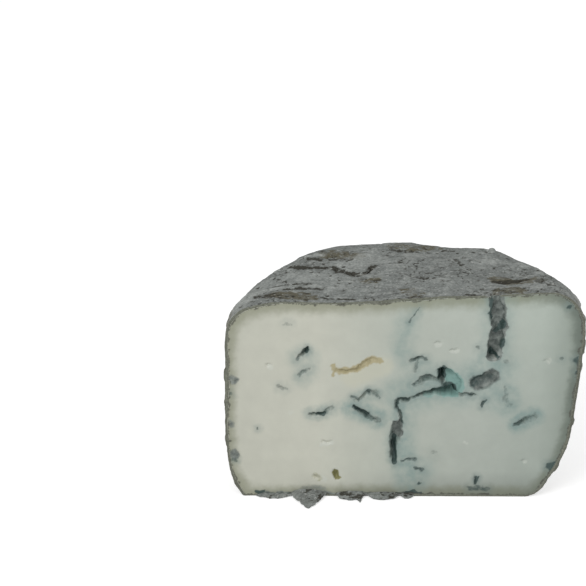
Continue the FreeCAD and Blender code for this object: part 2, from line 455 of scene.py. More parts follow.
MARKS = (
    # The seam, its hook and its drop to the foot.
    *strokes(
        Tint.VEIN,
        (0.3, 0.9, 0.7, (4.5, 45.7), (7.8, 47.9), (10.9, 48.8)),
        (0.4, 0.9, 0.95, (10.9, 48.8), (15.4, 49.7), (17.0, 51.3), (19.3, 51.7), (20.8, 50.1),
         (21.7, 48.7)),
        (0.25, 0.9, 0.75, (2.4, 45.0), (-1.3, 45.2), (-2.5, 42.9), (-1.9, 39.8), (-0.7, 36.1),
         (-0.3, 34.3)),
        (0.3, 0.9, 0.4, (24.0, 47.1), (27.0, 47.1), (28.2, 47.4), (29.5, 46.8)),
        (0.6, 1.2, 0.75, (28.2, 47.5)),
        (0.7, 0.8, 1.0, (-3.6, 26.8), (-3.9, 22.7), (-3.2, 18.0), (-3.4, 16.1)),
    ),
    *strokes(
        Tint.STAIN,
        (1.0, 5.0, 0.65, (0.0, 46.3), (5.0, 47.5), (12.0, 50.6), (10.0, 55.0), (5.0, 52.6)),
        (1.0, 4.0, 0.55, (5.0, 63.0), (8.0, 62.4), (12.0, 57.0)),
        (0.5, 9.0, 0.8, (-1.0, 44.4), (-1.0, 37.2), (-1.0, 28.9), (0.0, 20.6), (2.0, 14.5), (3.0, 6.2)),
    ),
    *strokes(Tint.FLECK, (0.4, 0.5, 0.4, (-2.5, 38.8), (-1.5, 36.0))),
    *strokes(Tint.LINING, (1.8, 1.0, 0.95, (-2.2, 33.7), (-2.4, 29.4))),
    # The cave, its throat, its branch and the twig over it.
    *strokes(
        Tint.VEIN,
        (1.1, 0.7, 1.0, (15.2, 58.8), (16.6, 59.5), (16.2, 57.2), (15.7, 54.7)),
        (0.8, 0.7, 1.0, (16.6, 50.9), (18.5, 51.2), (20.3, 50.8), (21.4, 49.1)),
        (0.5, 1.6, 0.5, (5.0, 51.9), (7.0, 53.7), (9.6, 55.0), (11.0, 55.0)),
        (0.3, 1.0, 0.45, (11.0, 55.0), (13.6, 54.4), (15.2, 54.6)),
        (0.4, 0.8, 0.7, (4.2, 51.8)),
        (0.35, 0.9, 0.6, (2.8, 62.7), (5.8, 63.9), (9.2, 63.8)),
        (0.2, 0.7, 0.45, (5.9, 63.3), (5.2, 60.2), (4.7, 57.8)),
    ),
    *strokes(
        Tint.TURQUOISE,
        (2.4, 2.0, 0.95, (18.6, 56.4), (21.0, 54.2), (22.3, 50.8)),
        (1.2, 1.0, 0.9, (17.5, 47.7), (21.5, 47.9)),
        (0.7, 0.8, 0.55, (9.0, 47.2), (15.0, 47.5)),
    ),
    *strokes(
        Tint.STAIN,
        (2.0, 12.0, 0.75, (0.0, 46.5), (6.0, 49.5), (14.0, 51.6), (24.0, 51.6), (34.0, 55.7), (38.0, 59.9)),
    ),
    # The needle channel and the mouldy pocket under it.
    *strokes(
        Tint.LINING,
        (3.0, 0.5, 1.0, (37.7, 98.1), (37.6, 90.8), (38.8, 86.7), (38.6, 81.6), (39.2, 78.5), (38.5, 73.3),
         (37.6, 68.1), (37.3, 65.4)),
        (2.1, 2.4, 0.95, (30.8, 52.4), (34.0, 53.5), (36.8, 56.0)),
    ),
    *strokes(
        Tint.VEIN,
        (0.5, 1.6, 0.7, (28.9, 51.6), (29.8, 54.4), (32.4, 55.8)),
        (0.8, 2.4, 0.55, (30.8, 52.4), (34.0, 53.5), (35.8, 55.0)),
        (0.8, 0.4, 1.0, (35.8, 66.3), (37.2, 64.8), (38.6, 64.6)),
        (0.8, 0.7, 1.0, (40.8, 79.3), (39.0, 76.4), (38.0, 75.2)),
        (0.35, 0.6, 0.9, (41.2, 72.6), (40.4, 69.6)),
        (0.4, 0.6, 0.8, (35.2, 90.8), (35.9, 87.4), (34.7, 84.3), (35.9, 81.4)),
        (0.6, 0.9, 0.5, (30.8, 68.8)),
    ),
    *strokes(Tint.FLECK, (0.7, 0.8, 0.4, (37.3, 62.9))),
    *strokes(
        Tint.STAIN,
        (2.5, 4.0, 0.7, (34.0, 63.0), (37.0, 60.8), (38.8, 57.5)),
        (3.0, 7.0, 0.5, (38.5, 87.7), (38.5, 72.3), (37.5, 61.9), (36.0, 51.6), (40.0, 45.4)),
    ),
    # The soft shade that comes down from the top, with its thin crack.
    *strokes(Tint.VEIN, (0.2, 0.4, 0.55, (6.4, 86.9), (4.7, 84.9), (2.7, 82.4), (2.0, 80.7))),
    *strokes(
        Tint.STAIN,
        (1.0, 3.5, 0.6, (4.5, 84.0), (1.0, 77.0), (-0.5, 71.0), (-2.0, 66.5)),
        (0.5, 8.0, 0.5, (1.0, 80.5), (0.0, 74.3), (-1.0, 68.1), (2.0, 61.9), (8.0, 59.9)),
    ),
    # The slits at the left.
    *strokes(
        Tint.VEIN,
        (0.4, 1.0, 0.5, (-44.6, 63.4), (-42.4, 65.9), (-40.8, 67.3)),
        (0.9, 0.5, 1.0, (-40.6, 67.1)),
        (0.5, 1.0, 0.45, (-43.4, 55.9), (-41.6, 58.0), (-39.8, 58.8)),
        (0.5, 1.0, 0.4, (-52.5, 50.8), (-50.8, 49.8), (-48.8, 50.2)),
        (0.4, 0.8, 0.35, (-50.0, 79.1), (-47.4, 79.3)),
        (0.4, 0.8, 0.55, (-39.1, 38.4), (-35.6, 38.3)),
        (0.6, 0.8, 0.9, (-36.0, 38.2), (-33.8, 38.5)),
        (0.5, 1.0, 0.4, (-33.2, 38.8), (-30.7, 40.9), (-29.4, 41.9)),
        (0.5, 0.9, 0.85, (-20.7, 41.5), (-17.8, 39.5), (-15.2, 37.8)),
        (0.8, 1.6, 0.5, (-15.2, 37.6), (-12.7, 36.1), (-10.8, 35.6)),
        (0.3, 0.9, 0.5, (-21.5, 46.1), (-18.6, 44.8)),
        (0.3, 0.9, 0.4, (-18.2, 45.2), (-15.5, 47.7), (-13.4, 48.3)),
        (0.8, 0.8, 0.7, (-14.4, 48.5)),
        (0.3, 0.8, 0.5, (-12.8, 48.1), (-10.0, 46.1)),
    ),
    *strokes(
        Tint.STAIN,
        (1.5, 6.0, 0.45, (-44.0, 64.0), (-41.0, 66.1), (-40.0, 59.9), (-42.0, 55.7)),
        (1.0, 4.0, 0.45, (-39.0, 38.2), (-30.0, 40.3)),
        (2.0, 5.0, 0.85, (-22.0, 41.0), (-10.5, 36.1)),
        (1.0, 4.0, 0.55, (-20.0, 45.6), (-11.0, 47.5)),
    ),
    # The dry slit and the olive eye. Under the slit its lip is creamier: partly curd, partly painted
    # highlight.
    *strokes(
        Tint.DRY,
        (0.5, 0.5, 1.0, (-29.4, 60.4), (-29.5, 56.0)),
        (1.3, 0.6, 1.0, (-28.8, 58.3), (-26.6, 57.8), (-22.4, 58.4), (-19.2, 59.3), (-16.8, 60.8),
         (-14.4, 62.8), (-12.2, 63.3), (-10.0, 62.7)),
    ),
    *strokes(Tint.CREAM_AND_HIGHLIGHT, (2.5, 3.5, 0.5, (-22.0, 55.3), (-14.0, 57.8), (-9.0, 60.3))),
    *strokes(
        Tint.OLIVE,
        (1.3, 0.5, 0.9, (-28.2, 10.5), (-27.6, 8.9)),
        (1.4, 0.9, 0.35, (-36.6, 9.2), (-35.4, 8.8)),
    ),
    # The right side.
    *strokes(
        Tint.VEIN,
        (0.7, 1.0, 0.6, (47.4, 34.0), (49.6, 34.6)),
        (0.8, 2.6, 0.38, (50.3, 35.2), (53.2, 36.7), (54.6, 37.8)),
        (0.5, 0.5, 0.75, (33.0, 41.9), (33.7, 43.8), (34.7, 44.8)),
        (0.8, 1.6, 0.35, (42.7, 46.9), (42.7, 43.8), (44.3, 42.8)),
        (0.5, 1.2, 0.4, (42.7, 62.8)),
        (0.4, 1.2, 0.35, (42.4, 50.5), (42.2, 48.5)),
    ),
    *strokes(
        Tint.STAIN,
        (2.0, 4.0, 0.95, (48.0, 34.3), (55.0, 37.6)),
        (2.5, 6.0, 0.65, (44.0, 43.0), (42.0, 48.5), (37.0, 47.0)),
    ),
    # The streaks and the crack at the foot.
    *strokes(
        Tint.VEIN,
        (0.4, 0.7, 0.6, (0.2, 16.6), (3.2, 17.4), (5.8, 17.2)),
        (0.5, 0.7, 0.7, (5.4, 13.2), (7.1, 12.8), (8.8, 12.5)),
        (0.5, 0.7, 0.7, (7.1, 6.1)),
        (0.4, 0.4, 0.9, (31.5, 8.9), (31.0, 5.6)),
        (0.6, 1.2, 0.6, (28.4, 3.7), (32.8, 4.0), (35.8, 3.5)),
        (1.0, 2.0, 0.25, (13.4, 20.2)),
        (0.4, 0.4, 0.6, (-61.2, 31.4)),
    ),
    *strokes(Tint.STAIN, (1.0, 8.0, 0.55, (2.0, 14.5), (8.0, 12.4), (6.0, 6.2))),
    # Where the rind's mould has crept in at the edges.
    *strokes(
        Tint.LINING,
        (1.6, 1.6, 0.7, (-71.4, 53.7)),
        (1.2, 1.4, 0.6, (-72.6, 33.3)),
        (1.6, 1.2, 0.7, (-71.1, 19.3)),
    ),
    *strokes(
        Tint.VEIN,
        (1.0, 1.4, 0.75, (71.8, 63.4), (73.4, 62.4)),
        (0.9, 1.0, 0.9, (72.4, 57.2)),
        (0.7, 1.1, 0.85, (61.4, 14.2), (64.8, 15.6)),
        (0.5, 1.0, 0.8, (62.6, 12.8), (65.0, 15.6)),
        (0.7, 0.9, 0.8, (67.8, 87.2)),
        (0.4, 0.8, 0.6, (-73.6, 47.5), (-72.4, 47.3)),
        (0.4, 0.8, 0.6, (-72.4, 17.0), (-70.6, 16.6)),
        (0.5, 0.8, 0.45, (65.5, 64.0)),
    ),
    # Bright spots in the small shallow eyes: partly bright curd, partly painted highlight on their lower
    # lips.
    *strokes(
        Tint.FLECK,
        (0.6, 0.5, 0.7, (-34.0, 23.9), (-31.0, 24.4), (-29.0, 24.8)),
        (0.8, 0.6, 0.6, (-56.0, 59.5)),
        (0.7, 0.8, 0.4, (-46.8, 38.8)),
        (0.7, 0.6, 0.6, (13.4, 69.8), (15.3, 70.2)),
        (0.7, 0.6, 0.6, (20.4, 66.9), (22.0, 67.5)),
        (0.8, 0.8, 0.5, (60.3, 63.2)),
        (0.3, 0.4, 0.6, (25.8, 25.2), (27.3, 25.0)),
        (0.7, 0.6, 0.5, (51.7, 16.1)),
        (0.9, 0.8, 0.6, (-33.4, 7.6)),
    ),
)

# Dark scraps of rind along the foot of the cut face.
FOOT_MARKS = (
    *strokes(
        Tint.VEIN,
        (0.5, 0.5, 0.85, (-62.0, 1.7), (-58.6, 2.2)),
        (0.6, 0.5, 0.9, (-25.7, 1.2), (-23.6, 1.6)),
        (0.8, 0.5, 0.95, (-22.8, 0.2), (-19.0, 0.0), (-15.9, -0.6)),
        (0.8, 0.5, 0.95, (-35.2, -1.5), (-34.0, 0.6)),
        (0.6, 0.5, 0.9, (-29.8, 0.2), (-28.2, -0.6)),
        (0.7, 0.6, 0.85, (-5.0, 0.0), (-3.0, 0.9), (-1.0, 0.7)),
        (0.8, 0.6, 0.9, (1.6, 0.9), (4.2, 1.8), (7.0, 1.2)),
    ),
    *strokes(
        Tint.LINING,
        (0.9, 1.0, 0.8, (-60.0, 0.6), (-46.0, 0.4), (-38.0, 0.8), (-28.0, 0.6), (-12.0, 0.4), (6.0, 0.6)),
        (1.4, 2.2, 0.5, (-44.0, 1.0), (-38.0, 3.0), (-34.0, 2.0)),
    ),
)

# Wrinkles, bare patches and pale ridges of the top rind. The ridges' paleness is partly dust and partly
# painted highlight.
TOP_MARKS = (
    *strokes(
        Tint.CREASE,
        (1.0, 0.7, 1.0, (-47.9, 39.8), (-44.6, 38.0), (-40.3, 35.2), (-35.1, 35.0), (-29.1, 34.0),
         (-23.9, 30.6), (-17.4, 26.8), (-14.8, 28.5), (-12.1, 35.0)),
        (0.8, 0.6, 0.9, (-40.8, 44.7), (-35.1, 42.0)),
        (0.6, 0.8, 0.6, (-30.4, 41.5), (-22.3, 42.0)),
        (0.4, 0.6, 0.8, (-56.6, 20.2), (-48.0, 19.8), (-38.9, 18.8)),
        (0.6, 0.8, 0.75, (-50.1, 14.6), (-42.0, 14.6), (-33.3, 13.6)),
        (0.9, 1.2, 0.7, (-61.3, 10.1), (-55.4, 7.4)),
        (0.9, 0.8, 0.85, (-4.4, 54.5), (2.4, 51.8), (6.0, 53.0)),
        (1.6, 0.8, 1.0, (38.2, 16.8), (41.0, 16.6), (45.0, 17.7), (51.1, 17.8)),
        (0.6, 0.7, 0.7, (5.6, 20.7), (9.7, 18.8)),
        (0.6, 0.7, 0.7, (17.9, 54.4), (22.1, 52.2)),
        (0.5, 0.7, 0.7, (22.6, 39.8), (24.6, 32.1)),
        (0.5, 0.6, 0.8, (1.0, 1.4), (7.6, 1.2)),
        (0.7, 0.7, 0.8, (25.2, 1.2), (30.3, 1.0)),
        (0.5, 0.7, 0.7, (-34.6, 5.0), (-28.0, 3.6), (-20.5, 2.4)),
        (0.7, 0.6, 0.7, (-25.0, 12.9)),
    ),
    *strokes(
        Tint.BROWN,
        (2.0, 4.0, 0.9, (-32.4, 46.5), (-20.4, 46.5)),
        (2.0, 4.0, 0.9, (-53.7, 8.8), (-44.2, 6.8), (-40.8, 5.4)),
        (1.2, 2.0, 0.8, (-17.0, 20.3), (-11.5, 19.9)),
        (1.5, 4.0, 0.7, (-2.0, 58.0), (6.0, 56.5), (14.0, 57.5)),
        (1.5, 3.0, 0.6, (1.0, 9.0), (3.0, 6.0), (5.0, 3.5)),
        (1.6, 3.0, 0.9, (40.4, 5.3), (47.2, 3.5)),
        (2.0, 3.0, 0.9, (39.2, 19.8), (45.6, 16.0), (54.4, 15.6)),
    ),
    *strokes(
        Tint.PALE,
        (3.5, 6.0, 0.8, (-73.5, 1.0), (-70.0, 8.0), (-66.0, 14.0)),
        (4.0, 9.0, 0.35, (-58.0, 22.0), (-42.0, 24.0), (-26.0, 20.0)),
        (3.0, 7.0, 0.35, (56.0, 10.0), (62.0, 8.0), (67.0, 3.0)),
        (1.0, 2.0, 0.7, (-61.5, 24.5), (-58.0, 30.0)),
        (0.8, 1.2, 0.9, (-63.5, 16.3), (-51.3, 16.8)),
        (0.7, 1.0, 0.9, (-38.4, 16.8), (-33.8, 16.4)),
        (0.7, 1.0, 0.8, (-30.8, 16.1), (-29.2, 16.0)),
        (0.8, 1.4, 0.8, (-41.4, 47.0), (-34.1, 46.0)),
        (4.0, 6.0, 0.6, (-22.3, 37.0), (-13.7, 42.9)),
        (1.8, 3.0, 0.6, (3.1, 46.6), (9.5, 47.0)),
        (2.5, 4.0, 0.5, (-4.1, 34.7), (1.2, 40.0)),
        (1.6, 2.5, 0.6, (32.5, 36.9), (37.4, 37.6)),
        (1.0, 2.0, 0.5, (9.7, 18.1), (13.9, 16.6)),
    ),
)

# Small knobs that stand up from the top's far edge.
KNOBS = (
    *strokes(
        Tint.PALE,
        (0.6, 1.5, 1.6, (38.5, 48.6)),
        (0.8, 3.0, 0.7, (49.4, 36.6), (51.0, 34.8)),
        (0.8, 2.8, 0.6, (57.0, 24.0)),
    ),
)


# ---- Finishes ----------------------------------------------------------------------------------------------
@dataclass(frozen=True)
class Cloud:
    """A cloudy pattern, about 0.5 in the mean, with its real size and how finely it breaks up."""

    name: str
    size_mm: float
    detail: float = 3.0
    roughness: float = 0.5
    squeeze: float = 1.0  # less than 1 draws it out across the half


@dataclass(frozen=True)
class Finish:
    """What all finishes share."""

    name: str
    roughness: float
    clouds: tuple[Cloud, ...] = ()

    def material(self) -> Material:
        """Makes a new material with this finish's look.

        Returns:
            The material.
        """
        material = bpy.data.materials.new(self.name)
        material.use_nodes = True
        shader = material.node_tree.nodes["Principled BSDF"]
        shader.inputs["Roughness"].default_value = self.roughness
        self.look(material.node_tree, shader)
        return material

    def look(self, tree: Tree, shader: Node) -> None:
        """Gives the material its colour and relief: each finish does this in its own way."""
        raise NotImplementedError

    def patterns(self, tree: Tree, place: Socket) -> dict[str, Node]:
        """Adds the finish's clouds.

        Args:
            tree: the material's nodes.
            place: the place on the piece.

        Returns:
            Each cloud's pattern, by its name.
        """
        made = {}
        for cloud in self.clouds:
            spot = add_node(tree, "ShaderNodeMapping", {"Vector": place, "Scale": (cloud.squeeze, 1.0, 1.0)})
            inputs = {"Scale": 1 / (cloud.size_mm * MM), "Detail": cloud.detail, "Roughness": cloud.roughness}
            made[cloud.name] = add_node(tree, "ShaderNodeTexNoise", {"Vector": spot} | inputs)
        return made


@dataclass(frozen=True)
class PasteFinish(Finish):
    """Ripe goat's-milk curd, cut with a knife: moist, pale and nearly matt, a little warmer at the left.

    The eye sees chalky ivory that turns cooler to the right and greener under the rind. The warmer, lighter
    left and the cooler, darker right are partly painted light and shade, as the light comes from the left.
    Blue mould lies on it as soft stains and crisp dark veins, and as grey fluff in the openings. The finest
    dust is in truth finer than a millimetre, and is drawn at a millimetre and a half so that it shows.
    """

    name: str = "goat_cheese_paste_knife_cut"
    roughness: float = 0.5
    clouds: tuple[Cloud, ...] = (
        Cloud("curds", 7),
        Cloud("mould", 4.5, 4, 0.6),
        Cloud("fluff", 2.6, 4, 0.55),
        Cloud("dust", 1.5, 5, 0.7),
    )
    ior: float = 1.45
    relief: float = 0.15 * MM

    # The curd's colours across the face, and those of its band under the rind, from left to right. Both turn
    # darker and cooler to the right, partly in their own tone and partly as painted shade, as the light comes
    # from the left.
    half_width: float = 75 * MM
    curd: Stops = (
        (0.0, "#c3c4b7"),
        (0.25, "#c9cabd"),
        (0.5, "#b5bbb1"),
        (0.7, "#b4bbb2"),
        (0.88, "#adb6ad"),
        (0.98, "#8e988f"),
    )
    under_rind: Stops = ((0.3, "#989a87"), (0.82, "#8b9180"), (0.97, "#69736a"))
    fluff: Stops = ((0.34, "#4a524f"), (0.5, "#707773"), (0.66, "#8a918c"))
    stain: str = "#8b9f9a"
    smear: str = "#7b8b87"
    vein: str = "#374946"
    turquoise: str = "#7ea39c"
    edge: str = "#4f5046"
    dry: str = "#aea685"
    olive: str = "#8f8d62"
    # the bright spots in small eyes: partly curd, partly painted highlight
    fleck: str = "#cdd1c8"
    # the slit's lower lip: partly creamier curd, partly painted highlight
    cream_and_highlight: str = "#c9c8b4"

    def look(self, tree: Tree, shader: Node) -> None:
        """Lays each layer of mould over the curd's own colour.

        Args:
            tree: the material's nodes.
            shader: its surface.
        """
        place = add_node(tree, "ShaderNodeTexCoord").outputs["Object"]
        split = add_node(tree, "ShaderNodeSeparateXYZ", {0: place}).outputs
        across, up = split["X"], split["Z"]
        cloud = self.patterns(tree, place)
        share = add_node(tree, RANGE, between(across, -self.half_width, self.half_width))
        curd, rim = (add_node(tree, RAMP, {"Fac": share}, stops) for stops in (self.curd, self.under_rind))

        # Painted shade: at the right the curd is darker low down than high up, as the light falls from above.
        # It is also a little uneven all over.
        right = add_node(tree, RANGE, between(across, -20 * MM, 60 * MM))
        rising = add_node(tree, RANGE, between(up, 0.0, 90 * MM, -0.15, 0.13))
        painted_slope_shade = add_node(tree, MATH, {0: right, 1: rising}, operation="MULTIPLY")
        uneven = add_node(tree, RANGE, between(cloud["curds"], 0.3, 0.7, 0.965, 1.03))
        shade = add_node(tree, MATH, {0: painted_slope_shade, 1: uneven})
        colour = add_node(tree, SCALED, {0: curd, "Scale": shade}, operation="SCALE")

        # Each layer is (where it lies, its colour, how much of it shows, how it breaks up into specks).
        clouded = add_node(tree, RANGE, between(cloud["mould"], 0.33, 0.66, 0.45, 1.2))
        smeared = add_node(tree, RANGE, between(cloud["mould"], 0.35, 0.65, 0.3, 0.8))
        fluff = add_node(tree, RAMP, {"Fac": cloud["fluff"]}, self.fluff)
        for name, over, most, breaks in (
            ("rim", rim, 0.95, 0.0),
            (Tint.CREAM_AND_HIGHLIGHT.value, self.cream_and_highlight, 1.0, 0.0),
            (Tint.STAIN.value, self.stain, clouded, 0.0),
            ("smear", self.smear, smeared, 0.0),
            (Tint.OLIVE.value, self.olive, 1.0, 1.0),
            (Tint.LINING.value, fluff, 1.0, 0.7),
            # deeper in the openings the grey fluff shows more: partly mould, partly painted shade in the
            # hollows
            ("deep_mould_and_shade", fluff, 0.6, 0.5),
            (Tint.TURQUOISE.value, self.turquoise, 0.85, 0.8),
            (Tint.DRY.value, self.dry, 1.0, 0.0),
            (Tint.VEIN.value, self.vein, 0.95, 0.9),
            (Tint.FLECK.value, self.fleck, 0.8, 0.0),
            ("edge", self.edge, 0.85, 1.8),
        ):
            cover = add_node(tree, "ShaderNodeAttribute", attribute_name=name).outputs["Fac"]
            if breaks:
                cover = broken(tree, cover, cloud["dust"], breaks)
            colour = laid_on(tree, colour, over, cover, most)

        # Painted shade: the foot of the face is darker from left of the middle to the right.
        from_left = add_node(tree, RANGE, between(across, -35 * MM, 15 * MM))
        low = add_node(tree, RANGE, between(up, 1 * MM, 12 * MM, 0.28, 0.0))
        painted_foot_shade = add_node(tree, MATH, {0: from_left, 1: low}, operation="MULTIPLY")
        lit = add_node(tree, MATH, {0: 1.0, 1: painted_foot_shade}, operation="SUBTRACT")
        colour = add_node(tree, SCALED, {0: colour, "Scale": lit}, operation="SCALE")

        relief = {"Height": cloud["dust"], "Strength": 0.25, "Distance": self.relief}
        bump = add_node(tree, "ShaderNodeBump", relief)
        tree.links.new(colour.outputs[0], shader.inputs["Base Color"])
        tree.links.new(bump.outputs[0], shader.inputs["Normal"])
        shader.inputs["IOR"].default_value = self.ior


@dataclass(frozen=True)
class RindFinish(Finish):
    """A natural rind of dry grey mould, brushed and turned: dusty and matt, dark in its creases.

    The eye sees felt-like grey with pale bloom and dark flecks, drawn out across where it was brushed. The
    wall is browner, and mottled in larger patches. The grain is in truth finer than a millimetre, and is
    drawn at one millimetre so that it shows.
    """

    name: str = "natural_grey_mould_rind"
    roughness: float = 0.9
    clouds: tuple[Cloud, ...] = (
        Cloud("patches", 14, 6, 0.7),
        Cloud("plates", 11, 2),
        Cloud("bloom", 3.2, 5, 0.62, squeeze=0.65),
        Cloud("flecks", 2.3, 5, 0.65, squeeze=0.65),
        Cloud("crumbs", 1.3, 4, 0.6, squeeze=0.65),
        Cloud("dots", 1.3, 1),
        Cloud("grain", 1.0, 4, 0.6),
    )
    specular: float = 0.2
    relief: float = 0.3 * MM
    grey: str = "#838784"
    wall: str = "#8b8981"
    pale: str = "#aaaeaa"
    white: str = "#c3c6c1"
    dark: str = "#3d3c35"
    brown: str = "#5f5b4a"
    section: str = "#77796b"

    def look(self, tree: Tree, shader: Node) -> None:
        """Lays bloom, flecks, bare patches and creases over the grey mould.

        Args:
            tree: the material's nodes.
            shader: its surface.
        """
        place = add_node(tree, "ShaderNodeTexCoord").outputs["Object"]
        cloud = self.patterns(tree, place)
        names = ("wall", "raised_dust_and_highlight", "section", Tint.BROWN.value, Tint.CREASE.value)
        wall, raised_dust_and_highlight, section, brown, crease = (
            add_node(tree, "ShaderNodeAttribute", attribute_name=name).outputs["Fac"] for name in names
        )

        # Grey mould, with plates a little lighter or darker, then pale bloom and dark flecks over it.
        colour = laid_on(tree, self.grey, self.wall, wall)
        shade = add_node(tree, RANGE, between(cloud["plates"], 0.3, 0.7, 0.86, 1.12))
        colour = add_node(tree, SCALED, {0: colour, "Scale": shade}, operation="SCALE")
        bloom = add_node(tree, RANGE, between(cloud["bloom"], 0.5, 0.68))
        flecks = add_node(tree, RANGE, between(cloud["flecks"], 0.43, 0.33))
        colour = laid_on(tree, colour, self.pale, bloom, 0.75)
        colour = laid_on(tree, colour, self.dark, flecks, 0.75)

        # The wall is mottled in larger patches: bare brown ones, and ones under white fuzz.
        for over, low, high, most in ((self.brown, 0.52, 0.4, 0.6), (self.white, 0.54, 0.64, 0.55)):
            patch = add_node(tree, RANGE, between(cloud["patches"], low, high))
            patch = add_node(tree, MATH, {0: patch, 1: wall}, operation="MULTIPLY")
            colour = laid_on(tree, colour, over, patch, most)

        # Bare patches of the top, raised places and ridges painted paler (partly dust, partly painted
        # highlight), specks of mould, and the rind's thickness in the cut.
        brown = broken(tree, brown, cloud["flecks"], 6.0)
        gaps = add_node(tree, RANGE, between(cloud["bloom"], 0.47, 0.38))
        dots = add_node(tree, RANGE, between(cloud["dots"], 0.64, 0.72))
        colour = laid_on(tree, colour, self.brown, brown, 0.9)
        colour = laid_on(tree, colour, self.dark, gaps, brown)
        colour = laid_on(tree, colour, self.pale, raised_dust_and_highlight)
        colour = laid_on(tree, colour, self.white, dots, 0.45)
        colour = laid_on(tree, colour, self.section, section, 0.85)

        # Creases, pits and folds are dark and crumbly: partly bare rind, partly painted shade in the hollows.
        # A fine grain goes over everything.
        colour = laid_on(tree, colour, self.dark, broken(tree, crease, cloud["crumbs"], 3.5), 0.95)
        speckle = add_node(tree, RANGE, between(cloud["grain"], 0.3, 0.7, 0.7, 1.27))
        colour = add_node(tree, SCALED, {0: colour, "Scale": speckle}, operation="SCALE")

        relief = {"Height": cloud["grain"], "Strength": 0.5, "Distance": self.relief}
        bump = add_node(tree, "ShaderNodeBump", relief)
        tree.links.new(colour.outputs[0], shader.inputs["Base Color"])
        tree.links.new(bump.outputs[0], shader.inputs["Normal"])
        shader.inputs["Specular IOR Level"].default_value = self.specular


@dataclass(frozen=True)
class PaperFinish(Finish):
    """Matt white paper: the camera sees it white, and the half's soft shadow stays on it."""

    name: str = "white_paper_sweep"
    roughness: float = 0.9
    paper: str = "#e6e6e6"
    glow: float = 0.55

    def look(self, tree: Tree, shader: Node) -> None:
        """Gives the paper its colour, and a glow that is seen but throws no light on the half.

        Args:
            tree: the material's nodes.
            shader: its surface.
        """
        glow = add_node(tree, MATH, {0: seen_by_camera(tree), 1: self.glow}, operation="MULTIPLY")
        tree.links.new(glow.outputs[0], shader.inputs["Emission Strength"])
        shader.inputs["Emission Color"].default_value = linear(WHITE)
        shader.inputs["Base Color"].default_value = linear(self.paper)


# ---- The form that all pieces share ------------------------------------------------------------------------
@dataclass
class Form:
    """What the pieces take from the solid: its surface, and the plane of the cut."""

    rind_thickness: float = 0.9 * MM
    rag: float = 0.35 * MM
    rag_lumps: Lumps = Lumps(5, 31)
    rag_crumbs: Lumps = Lumps(1.8, 32)
    outlined_at: float = 5 * MM  # how far behind the cut, past what notches its edge, the outline is taken
    plug_depth: float = 9.0 * MM
    taper: float = 2.4 * MM
    in_front: float = 5.0 * MM
    turns: int = 480
    outside: float = 0.2  # further from the middle than any of the solid
    cut: float = field(init=False)
    low: Vector = field(init=False)
    high: Vector = field(init=False)
    middle: Vector = field(init=False)
    surface: BVHTree = field(init=False)

    def __post_init__(self) -> None:
        """Finds the cut, the plane along which the most points of the solid lie."""
        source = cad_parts[NODE]
        levels, counts = np.unique(np.round(points_of(source)[:, 1], 5), return_counts=True)
        self.cut = float(levels[counts.argmax()])
        self.low, self.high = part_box(NODE)
        self.middle = (self.low + self.high) / 2
        whole = bmesh.new()
        whole.from_mesh(source.data)
        self.surface = BVHTree.FromBMesh(whole)
        whole.free()

    def outline(self, behind: float) -> np.ndarray:
        """The solid's outline in a plane that stands so far behind the cut.

        Args:
            behind: the distance, in metres.

        Returns:
            The distance from the middle to the outline for each of the turns, from +X towards +Z.
        """
        centre = Vector((self.middle.x, self.cut + behind, self.middle.z))
        found = []
        for i in range(self.turns):
            angle = 2 * math.pi * i / self.turns
            out = Vector((math.cos(angle), 0, math.sin(angle)))
            hit = self.surface.ray_cast(centre + self.outside * out, -out)
            found.append(self.outside - hit[3])
        return np.array(found)

    @cached_property
    def paste_outline(self) -> np.ndarray:
        """The outline of the paste in the cut face: the solid's, less a ragged thickness of rind.

        Returns:
            The distance from the middle to the outline for each of the turns.
        """
        turns = np.arange(self.turns) * 2 * math.pi / self.turns
        ring = np.stack((np.cos(turns), np.zeros(self.turns), np.sin(turns)), axis=1) * 70 * MM
        ragged = self.rag_lumps.at(ring) + 0.7 * self.rag_crumbs.at(ring)
        return self.outline(self.outlined_at) - self.rind_thickness - self.rag * ragged

    def tapered(self, name: str, radii: np.ndarray, back: float, narrowing: float) -> Piece:
        """A closed drum that follows an outline, from in front of the cut to a plane behind it.

        Args:
            name: its name.
            radii: its outline at the cut, one distance for each of the turns.
            back: how far behind the cut it ends.
            narrowing: how much less it reaches out for each metre further back.

        Returns:
            The drum.
        """
        bpy.ops.object.select_all(action="DESELECT")
        along_y = (math.pi / 2, 0, 0)
        bpy.ops.mesh.primitive_cylinder_add(vertices=self.turns, radius=1, depth=2, rotation=along_y)
        piece = bpy.context.active_object
        piece.name = name
        bpy.ops.object.transform_apply(location=True, rotation=True, scale=True)
        points = points_of(piece)
        turn = np.arctan2(points[:, 2], points[:, 0]) / (2 * math.pi) * self.turns
        behind = np.where(points[:, 1] > 0, back, -self.in_front)
        reach = radii[np.round(turn).astype(int) % self.turns] - behind * narrowing
        points[:, 0] = self.middle.x + reach * points[:, 0]
        points[:, 2] = self.middle.z + reach * points[:, 2]
        points[:, 1] = self.cut + behind
        move_points(piece, points)
        return piece

    def plug(self, name: str) -> Piece:
        """The room for the paste inside the rind, run on in front of the cut."""
        return self.tapered(name, self.paste_outline, self.plug_depth, self.taper / self.plug_depth)

    def rim_distance(self, points: np.ndarray) -> np.ndarray:
        """How far places of the face are from the rind.

        Args:
            points: places in metres, one to a row.

        Returns:
            The distances, in metres.
        """
        turns = np.arange(self.turns) * 2 * math.pi / self.turns
        ring_x = self.middle.x + self.paste_outline * np.cos(turns)
        ring_z = self.middle.z + self.paste_outline * np.sin(turns)
        nearest = np.full(len(points), np.inf)
        for x, z in zip(ring_x, ring_z):
            nearest = np.minimum(nearest, np.hypot(points[:, 0] - x, points[:, 2] - z))
        return nearest


